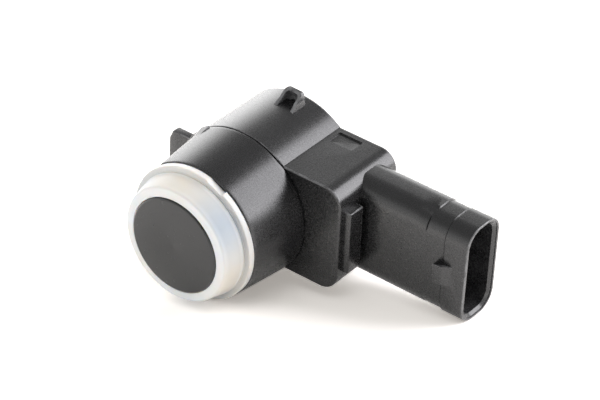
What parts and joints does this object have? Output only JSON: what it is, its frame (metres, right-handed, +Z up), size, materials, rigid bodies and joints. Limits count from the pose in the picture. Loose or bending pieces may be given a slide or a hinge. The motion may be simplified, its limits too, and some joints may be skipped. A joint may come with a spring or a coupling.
{
  "type": "parking sensor",
  "caption": "Round ultrasonic parking sensor with a silicone ring round its face, clip ramps on a black housing and a side connector.",
  "frame": {"origin": "on the sensing axis, in the plane of the ring's flange that seats behind the bumper skin", "axes": "-Y out of the sensing face, +X towards the connector's mouth, +Z up"},
  "size_m": [0.0524, 0.0294, 0.0282],
  "materials": {
    "black_plastic": "fine satin moulding grain",
    "collar_plastic": "satin with a fine grain",
    "silicone": "milky, slightly translucent",
    "painted_face": "smooth dark satin paint",
    "piezo_ceramic": "fired ceramic",
    "soft_fill": "soft foamed rubber",
    "red_sleeve": "thin insulation",
    "black_sleeve": "thin insulation",
    "board": "lacquered board",
    "copper_wire": "enamelled wire",
    "ferrite": "dark sintered body",
    "chip_case": "moulded case",
    "capacitor_body": "sintered body",
    "tinned_metal": "bright tin plate",
    "resin": "cast resin, smooth"
  },
  "bodies": {
    "root": {"housing": "black_plastic", "front_collar": "collar_plastic", "decoupling_ring": "silicone", "transducer_pot": "painted_face", "piezo_disc": "piezo_ceramic", "damping_pad": "soft_fill", "pot_carrier": "black_plastic", "foam_disc": "soft_fill", "lead_signal": "red_sleeve", "lead_return": "black_sleeve", "circuit_board": "board", "transformer_bobbin": "black_plastic", "transformer_winding": "copper_wire", "transformer_core": "ferrite", "control_chip": "chip_case", "capacitors": "capacitor_body", "resistors": "chip_case", "clamp_diode": "chip_case", "terminal_upper": "tinned_metal", "terminal_middle": "tinned_metal", "terminal_lower": "tinned_metal", "potting_fill": "resin"}
  },
  "joints": []
}
